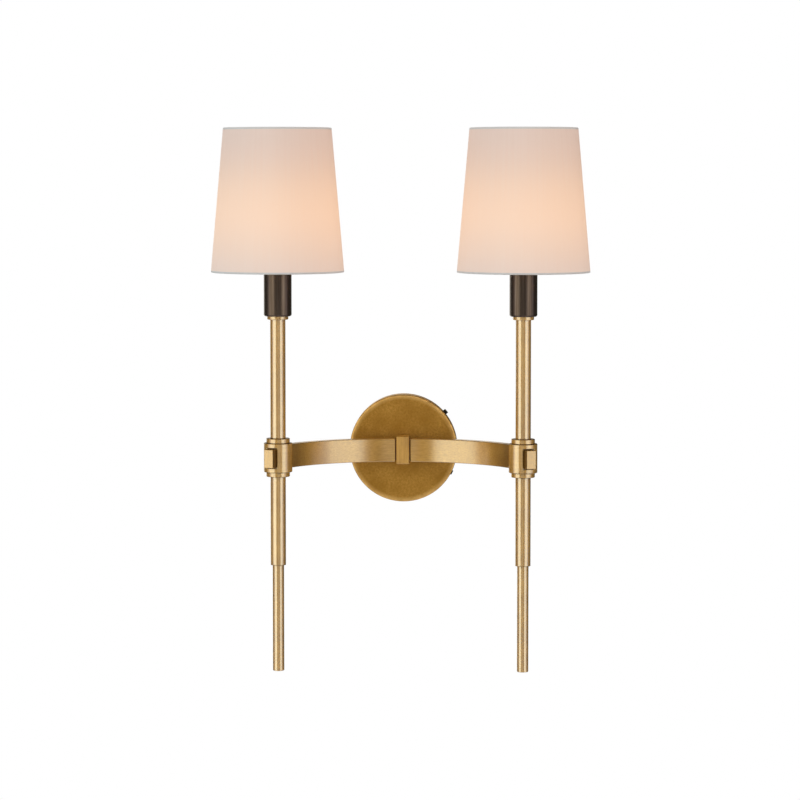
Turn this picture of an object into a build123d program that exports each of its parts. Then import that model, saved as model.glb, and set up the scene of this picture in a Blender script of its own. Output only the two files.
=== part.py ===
from build123d import *

import os
from math import asin, atan, cos, degrees, radians, sin, sqrt

# Double arm wall sconce, in millimetres.  +Z is up, the wall is the plane y = 0 and the
# light stands out from it towards -Y.  The origin is the centre of the wall plate's back.

os.makedirs("parts", exist_ok=True)

# ---- Driving dimensions ---------------------------------------------------------------

# Clearances
fit_gap = 0.05  # between pieces that are screwed, pushed or brazed together
turn_gap = 0.3  # between pieces that turn against each other

# Canopy: the round pan on the wall
canopy_diameter = 116.0
canopy_depth = 19.0
canopy_wall = 1.2
canopy_edge_radius = 2.0

# Mounting plate behind the canopy
plate_diameter = 104.0
plate_thickness = 1.6
wire_hole_diameter = 22.0
box_slot_spacing = 79.4
box_slot_length = 14.2
box_slot_width = 4.8
tab_width = 12.0
tab_height = 14.0
tab_gap = 1.5
tab_root = 5.0
ground_screw_drop = 30.0
ground_screw_diameter = 4.0
ground_head_diameter = 8.5
ground_head_height = 3.0

# Screws through the canopy's side wall, by their angle from +X
lock_screw_angle = 40.7
set_screw_angle = -27.7
blind_tab_angle = 186.5
side_screw_distance = 8.6  # from the wall
side_screw_diameter = 3.9
side_screw_past_tab = 4.6
side_hole_clearance = 0.4
lock_head_diameter = 5.2
lock_head_height = 3.0
set_head_diameter = 5.0
set_head_height = 1.2
driver_slot_width = 0.8
driver_slot_depth = 0.6

# Stem between the canopy and the centre block
pipe_diameter = 10.0  # every threaded pipe in the lamp
pipe_bore = 7.0
stem_nut_height = 4.0
nut_across_flats = 14.0
washer_diameter = 18.0
washer_thickness = 1.2
pipe_past_nut = 1.0
spacer_diameter = 13.0
spacer_length = 6.0  # from the canopy's face to the centre block
centre_block_width = 14.0
centre_block_height = 29.5
centre_block_proud = 1.5  # in front of the arms
block_chamfer = 0.5

# Arms
arm_stand_off = 16.5  # from the canopy's face to the middle of the arms
arm_bow = 82.0  # from the middle of the arms forward to the lamps
arm_thickness = 10.0
arm_height = 24.8
arm_wall = 1.5
arm_edge_chamfer = 0.6
reveal = 1.2  # shadow gap between an arm and the centre block
neck_wall = 1.2
neck_in_arm = 12.0
neck_in_block = 2.8

# Collar, where the arm's tenon passes through the lamp's stem
rod_spacing = 256.0
collar_diameter = 29.8
collar_height = 30.4
collar_chamfer = 0.5
collar_flat_depth = 1.6
tenon_thickness = 10.4
tenon_height = 19.2
tenon_reveal = 1.4  # above and below the tenon in the collar's flat
tenon_reach = 20.6  # from the collar's axis to the tenon's end
tenon_chamfer = 0.4
tenon_spigot = 9.0  # length behind the tenon's shoulder, in the arm
wire_well_diameter = 6.4
wire_way_diameter = 5.2
ring_diameter = 24.6
ring_height = 4.8
ring_chamfer = 0.3

# Tubes above and below the collar
tube_diameter = 16.0
tube_wall = 1.1
pipe_engagement = 12.0  # threaded pipe inside a tube
thread_run_out = 2.0  # thread past the end of a pipe
upper_tube_length = 124.3
lower_tube_length = 93.0
slim_tube_diameter = 12.0
slim_tube_wall = 1.1
slim_tube_drop = 111.7  # below the lower tube
slim_tube_socket = 10.0
slim_tip_chamfer = 0.5

# Lampholder and its cover
cap_diameter = 22.1
cap_height = 3.4
cap_chamfer = 0.5
cover_diameter = 29.0
cover_height = 60.0
cover_wall = 1.5
cover_edge_radius = 2.2
cover_nut_height = 4.0
holder_gap = 1.7  # from the cover's nut to the lampholder
holder_diameter = 23.6
holder_skirt_diameter = 25.4
holder_skirt_height = 18.0
holder_above_cover = 9.0
holder_thread_depth = 8.0
holder_well_diameter = 13.8
holder_well_depth = 24.8
shell_wall = 0.45
shell_height = 19.0
contact_diameter = 6.0
contact_height = 2.2

# Candle bulb
bulb_cap_diameter = 11.8
bulb_cap_height = 17.0
bulb_insulator_height = 3.0
bulb_tip_diameter = 4.4
bulb_tip_height = 1.2
bulb_neck_diameter = 12.4
bulb_neck_height = 4.0
bulb_diameter = 35.0
bulb_widest = 31.0  # above the cap
bulb_glass_height = 78.0
bulb_tip_radius = 2.4
glass_wall = 0.9

# Shade
shade_top_diameter = 112.7
shade_bottom_diameter = 138.8
shade_height = 150.3
shade_wall = 1.0
hem_height = 8.0
hem_extra = 0.4
shade_below_cover = 14.1  # the shade's bottom rim hangs this far under the cover's top
ring_wire_diameter = 3.0
spoke_diameter = 2.4
spoke_count = 3
spoke_flat_run = 6.0
spoke_bend_radius = 6.0
spoke_clearance = 0.8  # from the socket cover to the spokes' inner ends
fitter_thickness = 1.2
fitter_margin = 2.0  # washer outside the shade nut
shade_nut_diameter = 32.0
shade_nut_height = 5.0
nut_notch_count = 12
nut_notch_radius = 1.2

# Leads
lead_diameter = 2.4
lead_bend_radius = 6.0
lead_pitch = 2.8  # between the two leads in the stem
lead_end_distance = 4.0  # from the wall

# ---- Places worked out from the dimensions ----------------------------------------------

arm_distance = canopy_depth + arm_stand_off
lamp_distance = arm_distance + arm_bow
lamp_x = rod_spacing / 2
arm_end_angle = 2 * atan(arm_bow / lamp_x)
arm_radius = lamp_x / sin(arm_end_angle)
arc_centre_y = -arm_distance - arm_radius

canopy_radius = canopy_diameter / 2
canopy_inner_radius = canopy_radius - canopy_wall
tab_outer_radius = canopy_inner_radius - tab_gap
pipe_radius = pipe_diameter / 2
thread_radius = pipe_radius + fit_gap

block_front = arm_distance + arm_thickness / 2 + centre_block_proud
block_back = canopy_depth + spacer_length
canopy_face_inside = canopy_depth - canopy_wall
stem_pipe_end = canopy_face_inside - washer_thickness - stem_nut_height - pipe_past_nut

arm_bore_thickness = arm_thickness - 2 * arm_wall
arm_bore_height = arm_height - 2 * arm_wall
neck_thickness = arm_bore_thickness - 2 * fit_gap
neck_height = arm_bore_height - 2 * fit_gap

collar_radius = collar_diameter / 2
collar_top = collar_height / 2
flat_distance = collar_radius - collar_flat_depth
tenon_shoulder = sqrt(collar_radius**2 - (tenon_thickness / 2) ** 2) - fit_gap
spigot_height = min(tenon_height, neck_height)  # passes the collar's slot and fits the arm
thread_depth = pipe_engagement + thread_run_out
tube_bottom = collar_top + ring_height
tube_top = tube_bottom + upper_tube_length
cover_bottom = tube_top + cap_height
cover_floor = cover_bottom + cover_wall
cover_top = cover_bottom + cover_height
holder_bottom = cover_floor + cover_nut_height + holder_gap
holder_top = cover_top + holder_above_cover
well_floor = holder_top - holder_well_depth
cap_base = well_floor + contact_height + turn_gap
glass_base = cap_base + bulb_cap_height + bulb_tip_height + bulb_insulator_height

fitter_bottom = cover_top + turn_gap / 2
fitter_top = fitter_bottom + fitter_thickness
fitter_bore_radius = holder_skirt_diameter / 2 + turn_gap
fitter_radius = shade_nut_diameter / 2 + fitter_margin
shade_bottom = cover_top - shade_below_cover
shade_top = shade_bottom + shade_height


def in_front(distance):
    """Upright plane that faces the viewer, this far in front of the wall."""
    return Plane.XZ.offset(distance)


def side_wall_plane(angle, distance):
    """Plane on a cylinder about Y, facing outwards, at an angle from +X."""
    out = Vector(cos(radians(angle)), 0, sin(radians(angle)))
    return Plane(origin=out * distance - Vector(0, side_screw_distance, 0), x_dir=(0, 1, 0), z_dir=out)


class Lamp:
    """One of the two lamps: its name, its side of the wall plate and its upright axis."""

    def __init__(self, name, sign):
        self.name = name
        self.sign = sign
        self.axis = Axis((sign * lamp_x, -lamp_distance, 0), (0, 0, 1))
        self.profile = Plane(origin=(sign * lamp_x, -lamp_distance, 0), x_dir=(1, 0, 0), z_dir=(0, -1, 0))
        self.arc_axis = Axis((0, arc_centre_y, 0), (0, 0, -sign))

    def level(self, height):
        """Flat plane on the lamp's axis at this height."""
        return Plane(origin=(self.sign * lamp_x, -lamp_distance, height))

    def arc_point(self, angle):
        """Point on the arm's centre line, at an angle round its arc from the wall plate."""
        return Vector(self.sign * arm_radius * sin(angle), arc_centre_y + arm_radius * cos(angle), 0)

    def arc_tangent(self, angle):
        """Direction of the arm there, away from the wall plate."""
        return Vector(self.sign * cos(angle), -sin(angle), 0)

    def arm_section(self, angle):
        """Plane across the arm, with its x direction across the thickness."""
        across = Vector(self.sign * sin(angle), cos(angle), 0)
        return Plane(origin=self.arc_point(angle), x_dir=across, z_dir=self.arc_tangent(angle))

    def tenon_plane(self, distance):
        """Plane across the tenon, this far out from the collar's axis."""
        tangent = self.arc_tangent(arm_end_angle)
        return Plane(
            origin=self.arc_point(arm_end_angle) + tangent * distance,
            x_dir=(-tangent.Y, tangent.X, 0),
            z_dir=tangent,
        )


def save(piece, name):
    """Label a finished piece and write its file."""
    piece.part.label = name
    export_step(piece.part, f"parts/{name}.step")
    volume = sum(solid.volume for solid in piece.part.solids())
    print(f"{name}: {volume / 1000:.2f} cm3")


# ---- Wall plate ---------------------------------------------------------------------------


def make_canopy():
    """Spun pan with a rounded front edge, open towards the wall."""
    with BuildPart() as canopy:
        with BuildSketch(Plane.XZ):
            Circle(canopy_radius)
        extrude(amount=canopy_depth)
        front = canopy.faces().sort_by(Axis.Y)[0]
        fillet(front.edges(), radius=canopy_edge_radius)
        back = canopy.faces().sort_by(Axis.Y)[-1]
        offset(amount=-canopy_wall, openings=back)
        with BuildSketch(in_front(canopy_depth)):
            Circle(thread_radius)
        extrude(amount=-2 * canopy_wall, mode=Mode.SUBTRACT)
        for angle in (lock_screw_angle, set_screw_angle):
            with BuildSketch(side_wall_plane(angle, canopy_radius)):
                Circle(side_screw_diameter / 2 + side_hole_clearance)
            extrude(amount=-2 * canopy_wall, mode=Mode.SUBTRACT)
    save(canopy, "canopy")


def make_mounting_plate():
    """Steel disc that is screwed to the wall box, with bent tabs for the side screws."""
    tab_length = tab_outer_radius - plate_diameter / 2 + tab_root
    with BuildPart() as mounting_plate:
        with BuildSketch(Plane.XZ):
            Circle(plate_diameter / 2)
            for angle in (lock_screw_angle, set_screw_angle, blind_tab_angle):
                with PolarLocations(tab_outer_radius - tab_length / 2, 1, start_angle=angle):
                    Rectangle(tab_length, tab_width)
            Circle(wire_hole_diameter / 2, mode=Mode.SUBTRACT)
            with GridLocations(box_slot_spacing, 0, 2, 1):
                SlotOverall(box_slot_length, box_slot_width, mode=Mode.SUBTRACT)
            with Locations((0, -ground_screw_drop)):
                Circle(ground_screw_diameter / 2 + fit_gap, mode=Mode.SUBTRACT)
        extrude(amount=plate_thickness)
        with BuildSketch(Plane.XZ):
            for angle in (lock_screw_angle, set_screw_angle, blind_tab_angle):
                with PolarLocations(tab_outer_radius - plate_thickness / 2, 1, start_angle=angle):
                    Rectangle(plate_thickness, tab_width)
        extrude(amount=tab_height)
        for angle in (lock_screw_angle, set_screw_angle):
            with BuildSketch(side_wall_plane(angle, tab_outer_radius)):
                Circle(side_screw_diameter / 2 + fit_gap)
            extrude(amount=-2 * plate_thickness, mode=Mode.SUBTRACT)
    save(mounting_plate, "mounting_plate")


def make_side_screw(name, angle, head_diameter, head_height):
    """Screw that goes through the canopy's side wall into a tab of the mounting plate."""
    head_seat = canopy_radius + turn_gap / 2
    shank_end = tab_outer_radius - plate_thickness - side_screw_past_tab
    with BuildPart() as side_screw:
        with BuildSketch(side_wall_plane(angle, shank_end)):
            Circle(side_screw_diameter / 2)
        extrude(amount=head_seat - shank_end)
        with BuildSketch(side_wall_plane(angle, head_seat)):
            Circle(head_diameter / 2)
        extrude(amount=head_height)
        with BuildSketch(side_wall_plane(angle, head_seat + head_height)):
            Rectangle(driver_slot_width, head_diameter)
        extrude(amount=-driver_slot_depth, mode=Mode.SUBTRACT)
    save(side_screw, name)


def make_ground_screw():
    """Hexagon-headed screw for the earth wire, in the mounting plate."""
    with BuildPart() as ground_screw:
        with BuildSketch(Plane.XZ):
            with Locations((0, -ground_screw_drop)):
                Circle(ground_screw_diameter / 2)
        extrude(amount=plate_thickness)
        with BuildSketch(in_front(plate_thickness)):
            with Locations((0, -ground_screw_drop)):
                RegularPolygon(ground_head_diameter / 2, 6)
        extrude(amount=ground_head_height)
    save(ground_screw, "ground_screw")


def make_stem():
    """Threaded pipe, washer, nut and spacer that carry the centre block on the canopy."""
    with BuildPart() as stem_pipe:
        with BuildSketch(in_front(stem_pipe_end)):
            Circle(pipe_radius)
            Circle(pipe_bore / 2, mode=Mode.SUBTRACT)
        extrude(amount=arm_distance - arm_bore_thickness / 2 - fit_gap - stem_pipe_end)
    save(stem_pipe, "stem_pipe")

    with BuildPart() as stem_washer:
        with BuildSketch(in_front(canopy_face_inside)):
            Circle(washer_diameter / 2)
            Circle(thread_radius, mode=Mode.SUBTRACT)
        extrude(amount=-washer_thickness)
    save(stem_washer, "stem_washer")

    with BuildPart() as stem_nut:
        with BuildSketch(in_front(canopy_face_inside - washer_thickness)):
            RegularPolygon(nut_across_flats / 2, 6, major_radius=False)
            Circle(thread_radius, mode=Mode.SUBTRACT)
        extrude(amount=-stem_nut_height)
    save(stem_nut, "stem_nut")

    with BuildPart() as stem_spacer:
        with BuildSketch(in_front(canopy_depth)):
            Circle(spacer_diameter / 2)
            Circle(thread_radius, mode=Mode.SUBTRACT)
        extrude(amount=block_back - canopy_depth)
    save(stem_spacer, "stem_spacer")


def make_centre_block(lamp):
    """Block that both arms plug into, with a curved way through for their necks."""
    way_angle = asin(centre_block_width / arm_radius)
    with BuildPart() as centre_block:
        with BuildSketch(in_front(block_back)):
            Rectangle(centre_block_width, centre_block_height)
        extrude(amount=block_front - block_back)
        chamfer(centre_block.edges(), length=block_chamfer)
        with BuildSketch(lamp.arm_section(-way_angle)):
            Rectangle(arm_bore_thickness, arm_bore_height)
        revolve(axis=lamp.arc_axis, revolution_arc=2 * degrees(way_angle), mode=Mode.SUBTRACT)
        with BuildSketch(in_front(block_back)):
            Circle(thread_radius)
        extrude(amount=arm_distance - block_back, mode=Mode.SUBTRACT)
    save(centre_block, "centre_block")


# ---- Arms ---------------------------------------------------------------------------------


def make_arm(lamp):
    """Curved rectangular tube, coped to the collar at its outer end."""
    start = asin((centre_block_width / 2 + reveal) / arm_radius)
    stop = arm_end_angle - asin(collar_radius / 2 / arm_radius)
    with BuildPart() as arm:
        with BuildSketch(lamp.arm_section(start)):
            outline = Rectangle(arm_thickness, arm_height)
            chamfer(outline.vertices(), length=arm_edge_chamfer)
        revolve(axis=lamp.arc_axis, revolution_arc=degrees(stop - start))
        inner_end = arm.faces().filter_by(GeomType.PLANE).sort_by(Axis(lamp.arc_point(0), lamp.arc_tangent(0)))[0]
        chamfer(inner_end.edges(), length=arm_edge_chamfer)
        with BuildSketch(lamp.arm_section(start)):
            Rectangle(arm_bore_thickness, arm_bore_height)
        revolve(axis=lamp.arc_axis, revolution_arc=degrees(stop - start), mode=Mode.SUBTRACT)
        with BuildSketch(lamp.level(-arm_height)):
            Circle(collar_radius + fit_gap)
        extrude(amount=2 * arm_height, mode=Mode.SUBTRACT)
    save(arm, f"{lamp.name}_arm")


def make_neck(lamp):
    """Sleeve that joins the arm's tube to the centre block."""
    start = asin((centre_block_width / 2 - neck_in_block) / arm_radius)
    stop = asin((centre_block_width / 2 + reveal + neck_in_arm) / arm_radius)
    with BuildPart() as neck:
        with BuildSketch(lamp.arm_section(start)):
            Rectangle(neck_thickness, neck_height)
            Rectangle(neck_thickness - 2 * neck_wall, neck_height - 2 * neck_wall, mode=Mode.SUBTRACT)
        revolve(axis=lamp.arc_axis, revolution_arc=degrees(stop - start))
    save(neck, f"{lamp.name}_arm_neck")


def make_tenon(lamp):
    """Tenon that passes through the collar, with a spigot in the arm and a way for the lead."""
    shoulder_angle = arm_end_angle - asin(tenon_shoulder / arm_radius)
    spigot_start = shoulder_angle - tenon_spigot / arm_radius
    spigot_end = (arm_end_angle + shoulder_angle) / 2
    with BuildPart() as tenon:
        with BuildSketch(lamp.tenon_plane(-tenon_shoulder)):
            Rectangle(tenon_thickness, tenon_height)
        extrude(amount=tenon_shoulder + tenon_reach)
        end = tenon.faces().sort_by(Axis(lamp.arc_point(arm_end_angle), lamp.arc_tangent(arm_end_angle)))[-1]
        chamfer(end.edges(), length=tenon_chamfer)
        with BuildSketch(lamp.arm_section(spigot_start)):
            Rectangle(neck_thickness - 2 * fit_gap, spigot_height)
        revolve(axis=lamp.arc_axis, revolution_arc=degrees(spigot_end - spigot_start))
        with BuildSketch(lamp.arm_section(spigot_start)):
            Circle(wire_way_diameter / 2)
        revolve(axis=lamp.arc_axis, revolution_arc=degrees(arm_end_angle - spigot_start), mode=Mode.SUBTRACT)
        with BuildSketch(lamp.level(0)):
            Circle(wire_well_diameter / 2)
        extrude(amount=tenon_height, mode=Mode.SUBTRACT)
    save(tenon, f"{lamp.name}_tenon")


def make_collar(lamp):
    """Turned collar with a through slot for the tenon and a milled flat round its end."""
    with BuildPart() as collar:
        with BuildSketch(lamp.level(-collar_top)):
            Circle(collar_radius)
        extrude(amount=collar_height)
        chamfer(collar.edges(), length=collar_chamfer)
        with BuildSketch(lamp.level(-collar_top)):
            Circle(thread_radius)
        extrude(amount=collar_height, mode=Mode.SUBTRACT)
        with BuildSketch(lamp.tenon_plane(-collar_diameter)):
            Rectangle(tenon_thickness + 2 * fit_gap, tenon_height + 2 * fit_gap)
        extrude(amount=2 * collar_diameter, mode=Mode.SUBTRACT)
        with BuildSketch(lamp.tenon_plane(flat_distance)):
            Rectangle(collar_diameter, tenon_height + 2 * tenon_reveal)
        extrude(amount=collar_diameter, mode=Mode.SUBTRACT)
    save(collar, f"{lamp.name}_collar")


def make_collar_rings(lamp):
    """Rings that close the collar's ends, where the tubes meet it."""
    for name, bottom in (("upper", collar_top), ("lower", -collar_top - ring_height)):
        with BuildPart() as ring:
            with BuildSketch(lamp.level(bottom)):
                Circle(ring_diameter / 2)
            extrude(amount=ring_height)
            chamfer(ring.edges(), length=ring_chamfer)
            with BuildSketch(lamp.level(bottom)):
                Circle(thread_radius)
            extrude(amount=ring_height, mode=Mode.SUBTRACT)
        save(ring, f"{lamp.name}_{name}_ring")


def make_collar_pipes(lamp):
    """Threaded pipe above the tenon, which passes the lead, and a solid stud below it."""
    seat = tenon_height / 2 + fit_gap
    length = tube_bottom + pipe_engagement - seat
    with BuildPart() as collar_pipe:
        with BuildSketch(lamp.level(seat)):
            Circle(pipe_radius)
            Circle(pipe_bore / 2, mode=Mode.SUBTRACT)
        extrude(amount=length)
    save(collar_pipe, f"{lamp.name}_collar_pipe")

    with BuildPart() as collar_stud:
        with BuildSketch(lamp.level(-seat)):
            Circle(pipe_radius)
        extrude(amount=-length)
    save(collar_stud, f"{lamp.name}_collar_stud")


# ---- Tubes --------------------------------------------------------------------------------


def make_upper_tube(lamp):
    """Tube from the collar up to the lampholder, threaded inside at both ends."""
    with BuildPart() as upper_tube:
        with BuildSketch(lamp.level(tube_bottom)):
            Circle(tube_diameter / 2)
            Circle(thread_radius, mode=Mode.SUBTRACT)
        extrude(amount=upper_tube_length)
        with BuildSketch(lamp.level(tube_bottom + thread_depth)):
            Circle(tube_diameter / 2 - tube_wall)
        extrude(amount=upper_tube_length - 2 * thread_depth, mode=Mode.SUBTRACT)
    save(upper_tube, f"{lamp.name}_upper_tube")


def make_lower_tube(lamp):
    """Tube under the collar, with a plugged lower end that holds the slim tube."""
    with BuildPart() as lower_tube:
        with BuildSketch(lamp.level(-tube_bottom)):
            Circle(tube_diameter / 2)
        extrude(amount=-lower_tube_length)
        with BuildSketch(lamp.level(-tube_bottom)):
            Circle(thread_radius)
        extrude(amount=-thread_depth, mode=Mode.SUBTRACT)
        with BuildSketch(lamp.level(-tube_bottom - thread_depth)):
            Circle(tube_diameter / 2 - tube_wall)
        extrude(amount=thread_depth + slim_tube_socket - lower_tube_length, mode=Mode.SUBTRACT)
        with BuildSketch(lamp.level(-tube_bottom - lower_tube_length)):
            Circle(slim_tube_diameter / 2 + fit_gap)
        extrude(amount=slim_tube_socket, mode=Mode.SUBTRACT)
    save(lower_tube, f"{lamp.name}_lower_tube")


def make_slim_tube(lamp):
    """Slim tube under the lower tube, closed at its tip."""
    with BuildPart() as slim_tube:
        with BuildSketch(lamp.level(-tube_bottom - lower_tube_length - slim_tube_drop)):
            Circle(slim_tube_diameter / 2)
        extrude(amount=slim_tube_drop + slim_tube_socket)
        tip = slim_tube.faces().sort_by(Axis.Z)[0]
        chamfer(tip.edges(), length=slim_tip_chamfer)
        top = slim_tube.faces().sort_by(Axis.Z)[-1]
        offset(amount=-slim_tube_wall, openings=top)
    save(slim_tube, f"{lamp.name}_slim_tube")


# ---- Lampholder ---------------------------------------------------------------------------


def make_cover(lamp):
    """Brass cap on the upper tube, and the bronze cup that covers the lampholder."""
    with BuildPart() as tube_cap:
        with BuildSketch(lamp.level(tube_top)):
            Circle(cap_diameter / 2)
        extrude(amount=cap_height)
        chamfer(tube_cap.faces().sort_by(Axis.Z)[0].edges(), length=cap_chamfer)
        with BuildSketch(lamp.level(tube_top)):
            Circle(thread_radius)
        extrude(amount=cap_height, mode=Mode.SUBTRACT)
    save(tube_cap, f"{lamp.name}_tube_cap")

    with BuildPart() as socket_cover:
        with BuildSketch(lamp.level(cover_bottom)):
            Circle(cover_diameter / 2)
        extrude(amount=cover_height)
        fillet(socket_cover.faces().sort_by(Axis.Z)[0].edges(), radius=cover_edge_radius)
        offset(amount=-cover_wall, openings=socket_cover.faces().sort_by(Axis.Z)[-1])
        with BuildSketch(lamp.level(cover_bottom)):
            Circle(thread_radius)
        extrude(amount=2 * cover_wall, mode=Mode.SUBTRACT)
    save(socket_cover, f"{lamp.name}_socket_cover")

    with BuildPart() as cover_nut:
        with BuildSketch(lamp.level(cover_floor)):
            RegularPolygon(nut_across_flats / 2, 6, major_radius=False)
            Circle(thread_radius, mode=Mode.SUBTRACT)
        extrude(amount=cover_nut_height)
    save(cover_nut, f"{lamp.name}_cover_nut")

    with BuildPart() as holder_pipe:
        with BuildSketch(lamp.level(tube_top - pipe_engagement)):
            Circle(pipe_radius)
            Circle(pipe_bore / 2, mode=Mode.SUBTRACT)
        extrude(amount=holder_bottom + holder_thread_depth - pipe_past_nut - tube_top + pipe_engagement)
    save(holder_pipe, f"{lamp.name}_holder_pipe")


def make_lampholder(lamp):
    """Moulded candle lampholder with a skirt for the shade nut, and its brass contacts."""
    with BuildPart() as lampholder:
        with BuildSketch(lamp.level(holder_bottom)):
            Circle(holder_diameter / 2)
        extrude(amount=holder_top - holder_bottom)
        with BuildSketch(lamp.level(holder_top)):
            Circle(holder_skirt_diameter / 2)
        extrude(amount=-holder_skirt_height)
        with BuildSketch(lamp.level(holder_bottom)):
            Circle(thread_radius)
        extrude(amount=holder_thread_depth, mode=Mode.SUBTRACT)
        with BuildSketch(lamp.level(holder_top)):
            Circle(holder_well_diameter / 2)
        extrude(amount=-holder_well_depth, mode=Mode.SUBTRACT)
    save(lampholder, f"{lamp.name}_lampholder")

    shell_radius = holder_well_diameter / 2 - fit_gap
    with BuildPart() as contacts:
        with BuildSketch(lamp.level(well_floor)):
            Circle(contact_diameter / 2)
        extrude(amount=contact_height)
        with BuildSketch(lamp.level(well_floor)):
            Circle(shell_radius)
            Circle(shell_radius - shell_wall, mode=Mode.SUBTRACT)
        extrude(amount=shell_height)
    save(contacts, f"{lamp.name}_contacts")


def make_bulb(lamp):
    """Candle bulb: the screw cap, and the blown glass above it."""
    cap_radius = bulb_cap_diameter / 2
    with BuildPart() as bulb_cap:
        with BuildSketch(lamp.level(cap_base)):
            Circle(bulb_tip_diameter / 2)
        extrude(amount=bulb_tip_height)
        with BuildSketch(lamp.level(cap_base + bulb_tip_height)):
            Circle(bulb_tip_diameter / 2)
        with BuildSketch(lamp.level(cap_base + bulb_tip_height + bulb_insulator_height)):
            Circle(cap_radius)
        loft()
        with BuildSketch(lamp.level(glass_base)):
            Circle(cap_radius)
        extrude(amount=-bulb_cap_height)
    save(bulb_cap, f"{lamp.name}_bulb_cap")

    neck_radius = bulb_neck_diameter / 2
    neck_top = glass_base + bulb_neck_height
    widest = glass_base + bulb_widest
    glass_top = glass_base + bulb_glass_height
    with BuildPart() as bulb_glass:
        with BuildSketch(lamp.profile):
            with BuildLine():
                Line((0, glass_base), (neck_radius, glass_base))
                Line((neck_radius, glass_base), (neck_radius, neck_top))
                flare = Spline(
                    (neck_radius, neck_top),
                    (bulb_diameter / 2, widest),
                    tangents=[(0, 1), (0, 1)],
                    tangent_scalars=[0.8, 1.2],
                )
                Spline(
                    flare @ 1,
                    (bulb_tip_radius, glass_top - bulb_tip_radius),
                    (0, glass_top),
                    tangents=[(0, 1), (-1, 0)],
                )
                Line((0, glass_top), (0, glass_base))
            make_face()
        revolve(axis=lamp.axis)
        offset(amount=-glass_wall, openings=bulb_glass.faces().sort_by(Axis.Z)[0])
    save(bulb_glass, f"{lamp.name}_bulb_glass")


# ---- Shade --------------------------------------------------------------------------------


def shade_inner_radius(height):
    """Inner radius of the shade's plain wall at a height."""
    share = (height - shade_bottom) / shade_height
    outer = shade_bottom_diameter / 2 + share * (shade_top_diameter - shade_bottom_diameter) / 2
    return outer - shade_wall


def make_shade(lamp):
    """Tapered shade with turned hems at both rims."""
    bottom_radius = shade_bottom_diameter / 2
    top_radius = shade_top_diameter / 2
    hem_bottom = shade_bottom + hem_height
    hem_top = shade_top - hem_height
    with BuildPart() as shade:
        with BuildSketch(lamp.profile):
            with BuildLine():
                Polyline(
                    (bottom_radius, shade_bottom),
                    (top_radius, shade_top),
                    (shade_inner_radius(shade_top) - hem_extra, shade_top),
                    (shade_inner_radius(hem_top) - hem_extra, hem_top),
                    (shade_inner_radius(hem_top), hem_top),
                    (shade_inner_radius(hem_bottom), hem_bottom),
                    (shade_inner_radius(hem_bottom) - hem_extra, hem_bottom),
                    (shade_inner_radius(shade_bottom) - hem_extra, shade_bottom),
                    close=True,
                )
            make_face()
        revolve(axis=lamp.axis)
    save(shade, f"{lamp.name}_shade")


def make_shade_rings(lamp):
    """Wire ring in the top rim; bottom ring with spokes, and the washer brazed on top of them."""
    wire_radius = ring_wire_diameter / 2
    wall_slope = atan((shade_bottom_diameter - shade_top_diameter) / 2 / shade_height)
    inset = hem_extra + (wire_radius + fit_gap) / cos(wall_slope)
    low = shade_bottom + wire_radius
    high = shade_top - wire_radius
    low_radius = shade_inner_radius(low) - inset
    high_radius = shade_inner_radius(high) - inset
    with BuildPart() as top_ring:
        with BuildSketch(lamp.profile):
            with Locations((high_radius, high)):
                Circle(wire_radius)
        revolve(axis=lamp.axis)
    save(top_ring, f"{lamp.name}_shade_top_ring")

    spoke_level = fitter_bottom - fit_gap - spoke_diameter / 2
    spoke_start = cover_diameter / 2 + spoke_clearance
    with BuildPart() as shade_fitter:
        for spoke in range(spoke_count):
            angle = radians(360 * spoke / spoke_count - 90)
            upright = Plane(
                origin=lamp.profile.origin,
                x_dir=(cos(angle), sin(angle), 0),
                z_dir=(sin(angle), -cos(angle), 0),
            )
            with BuildLine(upright) as route:
                FilletPolyline(
                    (spoke_start, spoke_level),
                    (spoke_start + spoke_flat_run, spoke_level),
                    (low_radius - spoke_flat_run, low),
                    (low_radius, low),
                    radius=spoke_bend_radius,
                )
            with BuildSketch(Plane(origin=route.line @ 0, z_dir=route.line % 0)):
                Circle(spoke_diameter / 2)
            sweep(path=route.line)
        with BuildSketch(lamp.profile):
            with Locations((low_radius, low)):
                Circle(wire_radius)
        revolve(axis=lamp.axis)
    save(shade_fitter, f"{lamp.name}_shade_fitter")

    with BuildPart() as fitter_washer:
        with BuildSketch(lamp.level(fitter_bottom)):
            Circle(fitter_radius)
            Circle(fitter_bore_radius, mode=Mode.SUBTRACT)
        extrude(amount=fitter_thickness)
    save(fitter_washer, f"{lamp.name}_fitter_washer")


def make_shade_nut(lamp):
    """Ring nut with finger notches, which clamps the shade's fitter on the socket cover."""
    with BuildPart() as shade_nut:
        with BuildSketch(lamp.level(fitter_top + turn_gap / 2)):
            Circle(shade_nut_diameter / 2)
            Circle(fitter_bore_radius, mode=Mode.SUBTRACT)
            with PolarLocations(shade_nut_diameter / 2, nut_notch_count):
                Circle(nut_notch_radius, mode=Mode.SUBTRACT)
        extrude(amount=shade_nut_height)
    save(shade_nut, f"{lamp.name}_shade_nut")


# ---- Leads --------------------------------------------------------------------------------


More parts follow.
